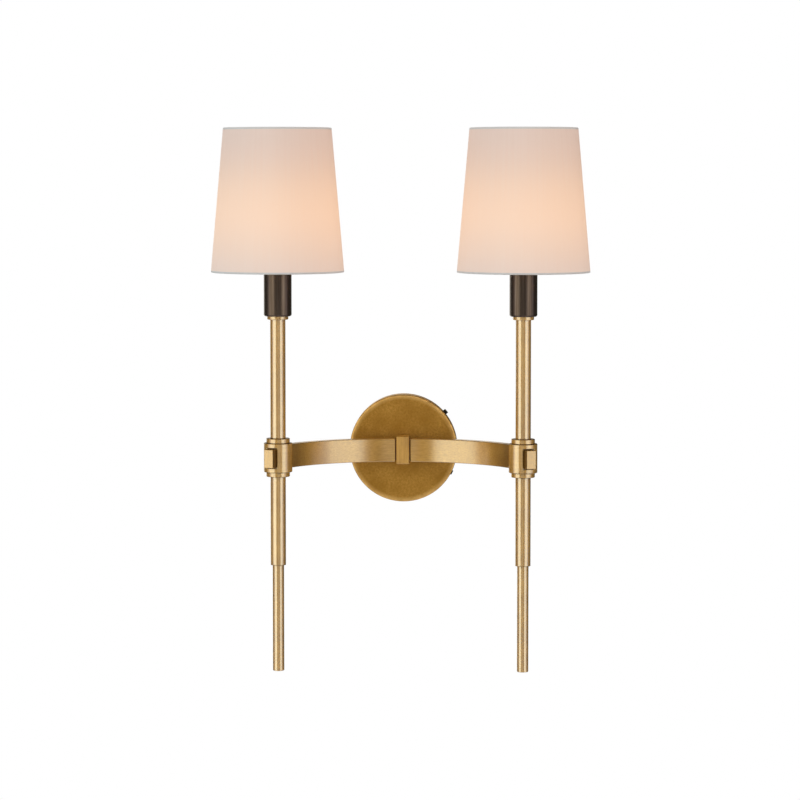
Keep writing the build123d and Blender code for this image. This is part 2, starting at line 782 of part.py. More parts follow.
def make_lead(lamp):
    """Lead from the lampholder down the tube, round through the arm and back to the wall."""
    bend = lead_bend_radius
    outer_angle = arm_end_angle - bend / arm_radius
    inner_angle = asin((lead_pitch / 2 + bend) / (arm_radius + bend))
    arm_outer = lamp.arc_point(outer_angle)
    corner = arm_outer + lamp.arc_tangent(outer_angle) * bend
    arm_inner = lamp.arc_point(inner_angle)
    stem_start = Vector(
        lamp.sign * lead_pitch / 2,
        arm_inner.Y + bend * cos(inner_angle),
        0,
    )
    with BuildPart() as lead:
        with BuildLine() as route:
            Line(corner + Vector(0, 0, holder_bottom + holder_thread_depth), corner + Vector(0, 0, bend))
            TangentArc(corner + Vector(0, 0, bend), arm_outer, tangent=(0, 0, -1))
            ThreePointArc(arm_outer, lamp.arc_point((outer_angle + inner_angle) / 2), arm_inner)
            TangentArc(arm_inner, stem_start, tangent=-lamp.arc_tangent(inner_angle))
            Line(stem_start, (stem_start.X, -lead_end_distance, 0))
        with BuildSketch(Plane(origin=route.line @ 0, z_dir=(0, 0, -1))):
            Circle(lead_diameter / 2)
        sweep(path=route.line)
    save(lead, f"{lamp.name}_lead")


# ---- Build --------------------------------------------------------------------------------

lamps = (Lamp("left", -1), Lamp("right", 1))

make_canopy()
make_mounting_plate()
make_side_screw("lock_screw", lock_screw_angle, lock_head_diameter, lock_head_height)
make_side_screw("set_screw", set_screw_angle, set_head_diameter, set_head_height)
make_ground_screw()
make_stem()
make_centre_block(lamps[1])

for lamp in lamps:
    make_arm(lamp)
    make_neck(lamp)
    make_tenon(lamp)
    make_collar(lamp)
    make_collar_rings(lamp)
    make_collar_pipes(lamp)
    make_upper_tube(lamp)
    make_lower_tube(lamp)
    make_slim_tube(lamp)
    make_cover(lamp)
    make_lampholder(lamp)
    make_bulb(lamp)
    make_shade(lamp)
    make_shade_rings(lamp)
    make_shade_nut(lamp)
    make_lead(lamp)
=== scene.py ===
# %% [markdown]
# # A wall light with two candle lamps, dressed in satin brass and lit fabric
#
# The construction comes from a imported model: tubes, curved arms, collars, canopy, lampholders.
# Those pieces already have their true size and place, so this lesson gives them their finishes
# and makes by hand only what a machine drawing can't hold: cloth, threads and the glow of a bulb.

from math import atan, atan2, cos, hypot, pi, radians, sin, tau

import bmesh
import bpy
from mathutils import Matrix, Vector


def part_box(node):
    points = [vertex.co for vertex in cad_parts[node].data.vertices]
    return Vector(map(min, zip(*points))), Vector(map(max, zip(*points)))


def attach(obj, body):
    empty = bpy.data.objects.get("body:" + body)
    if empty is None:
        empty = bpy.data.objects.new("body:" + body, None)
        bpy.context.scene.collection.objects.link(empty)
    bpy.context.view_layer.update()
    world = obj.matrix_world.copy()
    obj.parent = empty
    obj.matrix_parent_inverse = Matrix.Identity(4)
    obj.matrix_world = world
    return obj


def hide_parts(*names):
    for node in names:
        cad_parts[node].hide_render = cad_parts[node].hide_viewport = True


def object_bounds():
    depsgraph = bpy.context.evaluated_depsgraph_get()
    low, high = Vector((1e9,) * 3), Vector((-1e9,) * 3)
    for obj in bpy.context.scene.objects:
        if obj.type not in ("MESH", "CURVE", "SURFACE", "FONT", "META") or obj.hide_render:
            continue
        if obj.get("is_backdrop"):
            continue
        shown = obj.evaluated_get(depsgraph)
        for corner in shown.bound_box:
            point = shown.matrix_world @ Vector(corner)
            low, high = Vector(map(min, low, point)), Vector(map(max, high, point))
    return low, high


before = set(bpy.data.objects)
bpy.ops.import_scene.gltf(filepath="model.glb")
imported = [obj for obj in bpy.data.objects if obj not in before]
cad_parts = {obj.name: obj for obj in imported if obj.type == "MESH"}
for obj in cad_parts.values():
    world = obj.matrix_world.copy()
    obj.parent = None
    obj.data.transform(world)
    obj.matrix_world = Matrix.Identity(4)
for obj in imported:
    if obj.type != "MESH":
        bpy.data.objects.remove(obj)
scene = bpy.context.scene
cad_low, cad_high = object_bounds()
sides = ("left", "right")
print("frame:", len(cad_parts), "nodes, size", [round(v, 4) for v in cad_high - cad_low])

# %% [markdown]
# ## The camera
#
# A product photograph of a tall light is taken from well back with a long lens, so that upright
# tubes stay nearly parallel. The camera stands a little to the right of the light and a little
# above its middle, and the frame is shifted down so that the tubes don't converge.

# %% Camera
camera_place = Vector((0.0958, -2.9877, 0.2992))
camera_turn = radians(1.92)  # to the left
camera_tip = radians(3.26)  # downwards
camera_data = bpy.data.cameras.new("camera")
camera_data.sensor_width = 36.0
camera_data.lens = 124.26
camera_data.shift_y = -0.09
camera = bpy.data.objects.new("camera", camera_data)
camera.location = camera_place
camera.rotation_euler = (pi / 2 - camera_tip, 0.0, camera_turn)
scene.collection.objects.link(camera)
scene.camera = camera
scene.view_settings.view_transform = "Standard"
print("camera stands", round(camera_place.length, 2), "m away")

# %% [markdown]
# ## Small helpers for node trees
#
# Every finish here is a handful of nodes. One helper adds a node and fills its inputs, whether
# with a number or with another node's output, so that each finish reads like a recipe.


# %% Node helpers
def add(tree, kind, inputs=None, **settings):
    """Add a node, set its properties, and fill inputs with values or with other outputs."""
    node = tree.nodes.new(kind)
    for name, value in settings.items():
        setattr(node, name, value)
    for name, value in (inputs or {}).items():
        if isinstance(value, bpy.types.NodeSocket):
            tree.links.new(value, node.inputs[name])
        else:
            node.inputs[name].default_value = value
    return node


def new_finish(name, **values):
    """A material with one Principled shader, and its sockets set to plain values."""
    finish = bpy.data.materials.new(name)
    finish.use_nodes = True
    shader = finish.node_tree.nodes["Principled BSDF"]
    for socket, value in values.items():
        shader.inputs[socket.replace("_", " ")].default_value = value
    return finish, finish.node_tree, shader


def blend_colours(tree, factor, first, second):
    """Mix two colours by a factor, and return the colour output."""
    mix = add(tree, "ShaderNodeMix", data_type="RGBA")
    tree.links.new(factor, mix.inputs["Factor"])
    for socket, colour in ((mix.inputs[6], first), (mix.inputs[7], second)):
        if isinstance(colour, bpy.types.NodeSocket):
            tree.links.new(colour, socket)
        else:
            socket.default_value = (*colour, 1.0)
    return mix.outputs[2]


def noise(tree, vector, scale, detail=2.0, rough=0.5):
    """Cloudy noise from 0 to 1 on the given coordinates."""
    inputs = {"Vector": vector, "Scale": scale, "Detail": detail, "Roughness": rough}
    return add(tree, "ShaderNodeTexNoise", inputs).outputs["Fac"]


def spread(tree, value, low, high, new_low=0.0, new_high=1.0):
    """Stretch a value's useful range to a new range."""
    inputs = {0: value, 1: low, 2: high, 3: new_low, 4: new_high}
    return add(tree, "ShaderNodeMapRange", inputs).outputs[0]


def wear(name, finish):
    """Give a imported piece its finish."""
    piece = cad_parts[name]
    piece.data.materials.clear()
    piece.data.materials.append(finish)


# %% [markdown]
# ## Satin brass
#
# Brushed brass has three layers of detail. Fine scratches run along the piece, and blur its
# reflections. A thin clear lacquer gives paler highlights on top. Slow, cloudy patches of
# tarnish change its colour a little. The scratches need coordinates that follow the piece:
# straight ones for the tubes, and ones bent round the arc's centre for the arms.


# %% Grain coordinates
def place_of(tree):
    """Object coordinates, in metres."""
    return add(tree, "ShaderNodeTexCoord").outputs["Object"]


def straight_grain(tree, stretch):
    """Coordinates squeezed along each axis by stretch, so that noise turns into scratches."""
    return add(tree, "ShaderNodeMapping", {"Vector": place_of(tree), "Scale": stretch}).outputs[0]


lamp_x = (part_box("right_shade")[0].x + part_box("right_shade")[1].x) / 2
lamp_y = (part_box("right_shade")[0].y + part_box("right_shade")[1].y) / 2
arm_middle_y = (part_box("left_arm_neck")[1].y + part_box("left_arm_neck")[0].y) / 2
arm_bow = arm_middle_y - lamp_y
arm_radius = (lamp_x**2 + arm_bow**2) / (2 * arm_bow)
arc_centre = (0.0, arm_middle_y - arm_radius, 0.0)
print("arms bend on a radius of", round(arm_radius, 4), "m")


def arc_grain(tree, along):
    """Coordinates wound round the arms' common centre: along the arc, across it, and up."""
    centred = add(tree, "ShaderNodeVectorMath", {0: place_of(tree), 1: arc_centre}, operation="SUBTRACT")
    parts = add(tree, "ShaderNodeSeparateXYZ", {0: centred.outputs[0]}).outputs
    angle = add(tree, "ShaderNodeMath", {0: parts[0], 1: parts[1]}, operation="ARCTAN2").outputs[0]
    arc = add(tree, "ShaderNodeMath", {0: angle, 1: arm_radius * along}, operation="MULTIPLY").outputs[0]
    return add(tree, "ShaderNodeCombineXYZ", {0: arc, 1: parts[1], 2: parts[2]}).outputs[0]


# %% [markdown]
# Shade is painted into the brass where less light reaches: in the flat milled round a tenon's end,
# on the sides of the tenon, along the seams between turned pieces, on the block's sides and at the
# lamp end of each arm, and a faint dark reflection is painted beside the block. The next functions
# find those places from coordinates, as a number from 0 to 1 that darkens the colour and thins the
# lacquer, so that the painted shade keeps no highlight. The left half is folded onto the right, so
# that one recipe serves both lamps.


# %% Where shade is painted
lamp_angle = atan2(lamp_x, lamp_y - arc_centre[1])
tenon_way = (cos(lamp_angle), -sin(lamp_angle), 0.0)
tenon_across = (sin(lamp_angle), cos(lamp_angle), 0.0)


def maths(tree, operation, first, second=0.0):
    """The result of a Math node."""
    return add(tree, "ShaderNodeMath", {0: first, 1: second}, operation=operation).outputs[0]


def distance_from(tree, value, middle):
    """How far a value lies from a middle, on either side."""
    return maths(tree, "ABSOLUTE", maths(tree, "SUBTRACT", value, middle))


def folded_place(tree):
    """Distance from the middle plane, depth, and distance from the collars' level."""
    parts = add(tree, "ShaderNodeSeparateXYZ", {0: place_of(tree)}).outputs
    return maths(tree, "ABSOLUTE", parts[0]), parts[1], maths(tree, "ABSOLUTE", parts[2])


def along_tenon(tree, way):
    """How far a point lies from the lamp's axis in a level direction, such as the tenon's own."""
    outward, depth, level = folded_place(tree)
    folded = add(tree, "ShaderNodeCombineXYZ", {0: outward, 1: depth}).outputs[0]
    lamp_axis = (lamp_x, lamp_y, 0.0)
    offset = add(tree, "ShaderNodeVectorMath", {0: folded, 1: lamp_axis}, operation="SUBTRACT")
    measured = {0: offset.outputs[0], 1: way}
    return add(tree, "ShaderNodeVectorMath", measured, operation="DOT_PRODUCT").outputs["Value"]


def seams(tree, levels):
    """Narrow lines of painted shade round the pieces at the given heights, where they meet."""
    height = add(tree, "ShaderNodeSeparateXYZ", {0: place_of(tree)}).outputs[2]
    lines = None
    for seam in levels:
        line = spread(tree, distance_from(tree, height, seam), 0.0007, 0.0002, 0.0, 0.8)
        lines = line if lines is None else maths(tree, "MAXIMUM", lines, line)
    return lines


collar_levels = [end.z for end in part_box("left_collar")]
tube_levels = [
    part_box("left_upper_ring")[1].z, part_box("left_lower_ring")[0].z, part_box("left_lower_tube")[0].z,
]
ring_levels = [*collar_levels, *tube_levels[:2]]
tenon_end = 0.0206  # from the lamp's axis
flat_distance = 0.0133  # from the lamp's axis to the flat that is milled round the tenon's end
flat_half_height = 0.011
darkest_half_width = 0.0058  # the darkest part of the shade painted on the flat, a little wider than the tenon


def collar_shadow(tree):
    """Painted shade in the flat round the tenon's end, and along the seams to the rings."""
    out = along_tenon(tree, tenon_way)
    milled = spread(tree, out, flat_distance - 0.0004, flat_distance - 0.0001, 0.0, 0.9)
    between = spread(tree, folded_place(tree)[2], flat_half_height + 0.0002, flat_half_height - 0.0001)
    beside = maths(tree, "ABSOLUTE", along_tenon(tree, tenon_across))
    near = spread(tree, beside, darkest_half_width + 0.001, darkest_half_width, 0.3, 1.0)
    hollow = maths(tree, "MULTIPLY", maths(tree, "MULTIPLY", milled, between), near)
    return maths(tree, "MAXIMUM", hollow, seams(tree, ring_levels))


def tube_shadow(tree):
    """Painted shade along the seams where the tubes meet the rings, and where the slim tube leaves the
    lower one.
    """
    return seams(tree, tube_levels)


def tenon_shadow(tree):
    """Painted shade on all of the tenon but its end face."""
    out = along_tenon(tree, tenon_way)
    return spread(tree, out, tenon_end - 0.0004, tenon_end - 0.0001, 0.8, 0.0)


arm_end_reach = (0.102, 0.132)  # along the arc, where the shade painted at the lamp end starts and where it is deepest
# along the arc from the middle, where a faint dark reflection is painted
painted_reflection_distance = 0.027


def arm_shadow(tree):
    """Painted shade at the lamp end of an arm, and a faint painted dark reflection beside the block."""
    parts = add(tree, "ShaderNodeSeparateXYZ", {0: arc_grain(tree, 1.0)}).outputs
    along = maths(tree, "ABSOLUTE", parts[0])
    end = spread(tree, along, *arm_end_reach, 0.0, 0.55)
    painted_reflection = spread(tree, distance_from(tree, along, painted_reflection_distance), 0.009, 0.001, 0.0, 0.12)
    return maths(tree, "MAXIMUM", end, painted_reflection)


def block_shadow(tree):
    """Painted shade on the block's sides, which face the arms' ends."""
    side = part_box("centre_block")[1].x
    return spread(tree, folded_place(tree)[0], side - 0.0003, side - 0.0001, 0.0, 0.5)


# %% Brass finishes
# Painted shade on the brass blends towards this colour.
shadow_brown = (0.100, 0.046, 0.011)


def satin_brass(name, light, tarnished, roughness, coat, grain, shadow, fine_share=0.3):
    """Lacquered metal with scratches on the given grain coordinates, cloudy tarnish, and painted shade
    where shadow finds it.
    """
    finish, tree, shader = new_finish(name, Metallic=1.0, Coat_Roughness=0.2, Coat_IOR=3.0)
    scratches = noise(tree, grain(tree), 900.0, 3.0, 0.6)
    clouds = noise(tree, place_of(tree), 34.0, 4.0, 0.6)
    tarnish = spread(tree, clouds, 0.42, 0.75, 0.0, 0.75)
    fine = spread(tree, scratches, 0.35, 0.75, 0.0, fine_share)
    worn = blend_colours(tree, tarnish, light, tarnished)
    brushed = blend_colours(tree, fine, worn, tarnished)
    shaded = shadow(tree)
    tree.links.new(blend_colours(tree, shaded, brushed, shadow_brown), shader.inputs["Base Color"])
    # Where shade is painted, the lacquer's highlight is taken away too.
    tree.links.new(spread(tree, shaded, 0.0, 1.0, coat, 0.0), shader.inputs["Coat Weight"])
    rough = spread(tree, scratches, 0.3, 0.7, roughness - 0.05, roughness + 0.07)
    tree.links.new(rough, shader.inputs["Roughness"])
    bump = add(tree, "ShaderNodeBump", {"Height": scratches, "Strength": 0.12, "Distance": 0.00004})
    tree.links.new(bump.outputs[0], shader.inputs["Normal"])
    return finish


brass_light = (0.62, 0.348, 0.066)
brass_dark = (0.43, 0.208, 0.033)
block_light = (0.70, 0.400, 0.080)


def upright_grain(tree):
    """Scratches along an upright tube."""
    return straight_grain(tree, (1.0, 1.0, 0.03))


def turned_grain(tree):
    """Scratches left by turning, round an upright axis."""
    return straight_grain(tree, (0.08, 0.08, 1.0))


def short_grain(tree):
    """Upright scratches, shorter than a tube's."""
    return straight_grain(tree, (1.0, 1.0, 0.05))


def arm_grain(tree):
    """Scratches along the arms' arc."""
    return arc_grain(tree, 0.03)


tube_brass = satin_brass(
    "tube_brass", brass_light, brass_dark, 0.66, 1.0, upright_grain, tube_shadow
)
turned_brass = satin_brass(
    "turned_brass", brass_light, brass_dark, 0.62, 0.8, turned_grain, collar_shadow
)
arm_brass = satin_brass(
    "arm_brass", brass_light, brass_dark, 0.60, 0.62, arm_grain, arm_shadow, 0.6
)
tenon_brass = satin_brass(
    "tenon_brass", brass_light, brass_dark, 0.68, 0.55, short_grain, tenon_shadow
)
block_brass = satin_brass(
    "block_brass", block_light, brass_dark, 0.68, 0.4, short_grain, block_shadow, 0.5
)

for side in sides:
    for what in ("upper_tube", "lower_tube", "slim_tube"):
        wear(f"{side}_{what}", tube_brass)
    for what in ("collar", "upper_ring", "lower_ring", "tube_cap"):
        wear(f"{side}_{what}", turned_brass)
    wear(f"{side}_arm", arm_brass)
    wear(f"{side}_tenon", tenon_brass)
wear("centre_block", block_brass)
wear("stem_spacer", turned_brass)
finishes = [node.data.materials[0].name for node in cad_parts.values()]
print("brass on", sum("brass" in name for name in finishes), "pieces")

# %% [markdown]
# ## Aged brass for the canopy
#
# The canopy is darker and duller than the tubes. Acid ageing leaves it cloudy at two scales:
# patches the size of a fingertip, and a fine mottle of a millimetre or so. Two noises do that,
# and a high roughness spreads the light so that no lamp shows in it. A highlight is painted on
# its rounded edge, brighter in patches.


# %% Canopy finish
canopy_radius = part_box("canopy")[1].x
edge_highlight_inset = 0.0014  # from the canopy's outline to where the highlight painted on its rounded edge is brightest


def distance_from_middle(tree):
    """How far a point lies from the canopy's axis."""
    outward, depth, level = folded_place(tree)
    squares = (maths(tree, "POWER", outward, 2.0), maths(tree, "POWER", level, 2.0))
    return maths(tree, "SQRT", maths(tree, "ADD", *squares))


def aged_brass():
    """Two scales of cloudy ageing, with a highlight painted in patches on the rounded edge."""
    finish, tree, shader = new_finish("aged_brass", Metallic=1.0)
    place = place_of(tree)
    patches = spread(tree, noise(tree, place, 45.0, 3.0), 0.35, 0.65)
    mottle = spread(tree, noise(tree, place, 420.0, 4.0, 0.7), 0.3, 0.7)
    base = blend_colours(tree, patches, (0.43, 0.215, 0.040), (0.63, 0.345, 0.084))
    aged = blend_colours(tree, mottle, base, (0.38, 0.188, 0.037))
    # A highlight is painted along the rounded edge, in patches.
    off_edge = distance_from(tree, distance_from_middle(tree), canopy_radius - edge_highlight_inset)
    edge = spread(tree, off_edge, 0.0042, 0.0002)
    highlight_patches = spread(tree, noise(tree, place, 90.0, 4.0, 0.7), 0.3, 0.6, 0.4, 0.9)
    edge_highlight = maths(tree, "MULTIPLY", edge, highlight_patches)
    colour = blend_colours(tree, edge_highlight, aged, (0.80, 0.50, 0.19))
    tree.links.new(colour, shader.inputs["Base Color"])
    rough = spread(tree, mottle, 0.0, 1.0, 0.46, 0.6)
    tree.links.new(rough, shader.inputs["Roughness"])
    bump = add(tree, "ShaderNodeBump", {"Height": mottle, "Strength": 0.25, "Distance": 0.00008})
    tree.links.new(bump.outputs[0], shader.inputs["Normal"])
    return finish


wear("canopy", aged_brass())

# %% [markdown]
# ## Dark bronze, steel and the small metal parts
#
# The cups under the shades are chemically darkened bronze: nearly black, with a brown tint where
# the lamps reflect, and brushed lengthwise. The parts behind the canopy are zinc-plated steel
# with a faint crystal pattern; the screws are black, and the earth screw is painted green.


# %% Dark and plated metals
def streaked_metal(name, light, dark, roughness, stretch=(1, 1, 1), scale=700.0, metallic=1.0):
    """Metal whose colour and gloss vary in streaks."""
    finish, tree, shader = new_finish(name, Metallic=metallic)
    streaks = spread(tree, noise(tree, straight_grain(tree, stretch), scale, 3.0), 0.3, 0.7)
    tree.links.new(blend_colours(tree, streaks, dark, light), shader.inputs["Base Color"])
    rough = spread(tree, streaks, 0.0, 1.0, roughness + 0.06, roughness - 0.04)
    tree.links.new(rough, shader.inputs["Roughness"])
    return finish


dark_bronze = streaked_metal(
    "dark_bronze", (0.118, 0.088, 0.080), (0.066, 0.046, 0.040), 0.32, stretch=(1, 1, 0.02)
)
zinc_steel = streaked_metal("zinc_steel", (0.60, 0.60, 0.60), (0.47, 0.48, 0.50), 0.38, scale=260.0)
black_metal = streaked_metal("black_metal", (0.03, 0.03, 0.03), (0.015, 0.015, 0.015), 0.4)
green_metal = streaked_metal("green_metal", (0.05, 0.32, 0.10), (0.03, 0.24, 0.07), 0.4, metallic=0.3)
contact_brass = streaked_metal("contact_brass", (0.75, 0.56, 0.28), (0.62, 0.43, 0.18), 0.3)
white_enamel = streaked_metal("white_enamel", (0.82, 0.81, 0.78), (0.76, 0.75, 0.72), 0.35, metallic=0.0)

for side in sides:
    wear(f"{side}_socket_cover", dark_bronze)
    wear(f"{side}_shade_nut", dark_bronze)
    wear(f"{side}_shade_fitter", white_enamel)
    wear(f"{side}_fitter_washer", white_enamel)
    wear(f"{side}_shade_top_ring", white_enamel)
    wear(f"{side}_contacts", contact_brass)
    for what in ("cover_nut", "holder_pipe", "collar_pipe", "collar_stud"):
        wear(f"{side}_{what}", zinc_steel)
    # The arm's neck shows only in the narrow gap by the block; its dark bronze there is painted shade in
    # that gap.
    wear(f"{side}_arm_neck", dark_bronze)
for name in ("mounting_plate", "stem_pipe", "stem_washer", "stem_nut"):
    wear(name, zinc_steel)
for name in ("lock_screw", "set_screw"):
    wear(name, black_metal)
wear("ground_screw", green_metal)

# %% [markdown]
# ## Moulded lampholder and rubbery lead
#
# A lampholder is moulded in a hard black resin, glossy with a faint orange-peel surface. The
# lead's jacket is soft and matt. Both are plastics, so metallic stays at zero and a small bump
# gives the surface its character.


# %% Plastics
def moulded(name, colour, roughness, bump_scale, depth):
    """Plastic with an even colour that varies by a few per cent, and a fine surface texture."""
    finish, tree, shader = new_finish(name)
    texture = noise(tree, place_of(tree), bump_scale, 2.0)
    paler = tuple(min(1.0, channel * 1.25 + 0.01) for channel in colour)
    tree.links.new(blend_colours(tree, texture, colour, paler), shader.inputs["Base Color"])
    rough = spread(tree, texture, 0.3, 0.7, roughness - 0.05, roughness + 0.05)
    tree.links.new(rough, shader.inputs["Roughness"])
    bump = add(tree, "ShaderNodeBump", {"Height": texture, "Strength": 0.3, "Distance": depth})
    tree.links.new(bump.outputs[0], shader.inputs["Normal"])
    return finish


resin = moulded("black_resin", (0.018, 0.016, 0.015), 0.25, 500.0, 0.00005)
jacket = moulded("lead_jacket", (0.55, 0.48, 0.32), 0.6, 900.0, 0.00003)
for side in sides:
    wear(f"{side}_lampholder", resin)
    wear(f"{side}_lead", jacket)

# %% [markdown]
# ## Bulbs that glow
#
# A frosted candle bulb is a lamp in itself, so its glass sends out light and no separate lamp is
# needed inside the shade. Frosting makes it brightest round the middle, where the filament is,
# and dimmer at the neck and the tip. That gradient runs with height in the bulb's own metres.

# %% Bulb glass
bulb_low, bulb_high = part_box("left_bulb_glass")


def frosted_glass():
    """Frosted glass that sends out light, most of it near the filament's height."""
    finish, tree, shader = new_finish(
        "frosted_glass", Base_Color=(0.92, 0.90, 0.86, 1.0), Roughness=0.4, Emission_Strength=5.0
    )
    height = add(tree, "ShaderNodeSeparateXYZ", {0: place_of(tree)}).outputs[2]
    share = spread(tree, height, bulb_low.z, bulb_high.z)
    ramp = add(tree, "ShaderNodeValToRGB", {0: share})
    stops = ((0.0, (0.30, 0.15, 0.05)), (0.38, (1.0, 0.66, 0.34)), (1.0, (0.55, 0.30, 0.12)))
    for number, (position, colour) in enumerate(stops):
        elements = ramp.color_ramp.elements
        element = elements[number] if number < 2 else elements.new(position)
        element.position = position
        element.color = (*colour, 1.0)
    tree.links.new(ramp.outputs[0], shader.inputs["Emission Color"])
    return finish


glass = frosted_glass()
for side in sides:
    wear(f"{side}_bulb_glass", glass)

# %% [markdown]
# ## Threads from a Geometry Nodes tree
#
# A screw thread is one ridge wound round a cylinder: a helix with a small profile swept along
# it. The same tree makes the coarse round thread of the bulb's cap and the finer thread on the
# lampholder's skirt, because radius, pitch, turns and ridge are its inputs.


# %% Thread tree
def thread_tree():
    """A Geometry Nodes tree that winds one ridge round an upright cylinder."""
    tree = bpy.data.node_groups.new("thread", "GeometryNodeTree")
    tree.interface.new_socket("Geometry", in_out="OUTPUT", socket_type="NodeSocketGeometry")
    for name in ("Radius", "Pitch", "Turns", "Ridge"):
        tree.interface.new_socket(name, in_out="INPUT", socket_type="NodeSocketFloat")
    tree.interface.new_socket("Finish", in_out="INPUT", socket_type="NodeSocketMaterial")
    given = tree.nodes.new("NodeGroupInput").outputs
    helix = add(tree, "GeometryNodeCurveSpiral", {
        "Resolution": 48, "Rotations": given["Turns"], "Start Radius": given["Radius"],
        "End Radius": given["Radius"], "Height": maths(tree, "MULTIPLY", given["Pitch"], given["Turns"]),
    })
    profile = add(tree, "GeometryNodeCurvePrimitiveCircle", {"Resolution": 10, "Radius": given["Ridge"]})
    ridge = add(tree, "GeometryNodeCurveToMesh", {
        "Curve": helix.outputs[0], "Profile Curve": profile.outputs[0], "Fill Caps": True,
    })
    whole = add(tree, "GeometryNodeRealizeInstances", {"Geometry": ridge.outputs[0]})
    worn = {"Geometry": whole.outputs[0], "Material": given["Finish"]}
    made = add(tree, "GeometryNodeSetMaterial", worn)
    out = tree.nodes.new("NodeGroupOutput")
    tree.links.new(made.outputs[0], out.inputs["Geometry"])
    return tree


threads = thread_tree()


def wind_thread(name, place, body, slot, **sizes):
    """Run the thread tree, turn its result into a plain mesh and let it ride a body."""
    maker = bpy.data.objects.new(name + "_maker", bpy.data.meshes.new(name + "_maker"))
    scene.collection.objects.link(maker)
    modifier = maker.modifiers.new("thread", "NODES")
    modifier.node_group = threads
    for item in threads.interface.items_tree:
        if item.in_out == "INPUT":
            modifier[item.identifier] = sizes[item.name]
    evaluated = maker.evaluated_get(bpy.context.evaluated_depsgraph_get())
    mesh = bpy.data.meshes.new_from_object(evaluated)
    mesh.transform(maker.matrix_world)
    for vertex in mesh.vertices:
        vertex.co += place
    for face in mesh.polygons:
        face.use_smooth = True
    bpy.data.objects.remove(maker)
    piece = bpy.data.objects.new(name, mesh)
    scene.collection.objects.link(piece)
    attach(piece, body)
    print(name, len(mesh.polygons), "faces")


# %% Threads on the lampholders and the bulbs' caps
nickel = streaked_metal("nickel", (0.72, 0.70, 0.66), (0.6, 0.58, 0.54), 0.25)
for side in sides:
    low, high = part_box(f"{side}_lampholder")
    centre = (low + high) / 2
    wind_thread(
        f"{side}_skirt_thread", Vector((centre.x, centre.y, high.z - 0.0078)), "root", "black_phenolic",
        Radius=(high.x - low.x) / 2 - 0.0001, Pitch=0.0012, Turns=6.0, Ridge=0.0003, Finish=resin,
    )
    low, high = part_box(f"{side}_bulb_cap")
    wear(f"{side}_bulb_cap", nickel)
    wind_thread(
        f"{side}_cap_thread", Vector((centre.x, centre.y, low.z + 0.006)), f"{side}_bulb", "nickel",
        Radius=(high.x - low.x) / 2, Pitch=0.0025, Turns=5.0, Ridge=0.00035, Finish=nickel,
    )

# %% [markdown]
# ## The shades
#
# Each shade is cloth laminated to a stiff clear liner, rolled into a cone and turned over a wire
# ring at both rims. The cloth is thin, so the bulb behind it shows as a warm glow, and that light
# is painted on as emission. The turned rims are several layers thick and stay pale, with only a
# faint painted glow. So one profile is revolved: up the outside, round the top bead, down the
# inside and round the bottom bead. The rows near the beads belong to the rim finish, and the
# painted glow is a gradient along the cloth's own height, on the liner inside as well as outside.

# %% Shade cloth finish
shade_low, shade_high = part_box("left_shade")


def gradient(tree, factor, stops):
    """A colour ramp with eased steps, from (position, colour) stops."""
    ramp = add(tree, "ShaderNodeValToRGB", {0: factor})
    ramp.color_ramp.interpolation = "B_SPLINE"
    elements = ramp.color_ramp.elements
    while len(elements) < len(stops):
        elements.new(0.5)
    for element, (position, colour) in zip(elements, stops):
        element.position = position
        element.color = (*colour, 1.0)
    return ramp.outputs[0]


def cloth(name, colour, glow_stops, weave_depth=0.00006):
    """Fine cloth with slubs along its height, on a UV map in metres, with the bulb's light through it
    painted on as emission by height.
    """
    finish, tree, shader = new_finish(name, Roughness=0.85, Sheen_Weight=0.15, Emission_Strength=1.0)
    uv = add(tree, "ShaderNodeUVMap", uv_map="cloth").outputs[0]
    upright = add(tree, "ShaderNodeMapping", {"Vector": uv, "Scale": (1, 0.02, 1)}).outputs[0]
    level = add(tree, "ShaderNodeMapping", {"Vector": uv, "Scale": (0.05, 1, 1)}).outputs[0]
    slubs = noise(tree, upright, 420.0, 3.0)
    picks = noise(tree, level, 1500.0)
    uneven = spread(tree, slubs, 0.25, 0.75)
    thicker = tuple(channel * 0.95 for channel in colour)
    tree.links.new(blend_colours(tree, uneven, thicker, colour), shader.inputs["Base Color"])
    height = add(tree, "ShaderNodeSeparateXYZ", {0: place_of(tree)}).outputs[2]
    share = spread(tree, height, shade_low.z, shade_high.z)
    glow = gradient(tree, share, glow_stops)
    dimmed = add(tree, "ShaderNodeMix", data_type="RGBA", blend_type="MULTIPLY")
    tree.links.new(uneven, dimmed.inputs["Factor"])
    tree.links.new(glow, dimmed.inputs[6])
    dimmed.inputs[7].default_value = (0.94, 0.93, 0.92, 1.0)
    tree.links.new(dimmed.outputs[2], shader.inputs["Emission Color"])
    ribs = maths(tree, "ADD", slubs, picks)
    bump = add(tree, "ShaderNodeBump", {"Height": ribs, "Strength": 0.35, "Distance": weave_depth})
    tree.links.new(bump.outputs[0], shader.inputs["Normal"])
    return finish


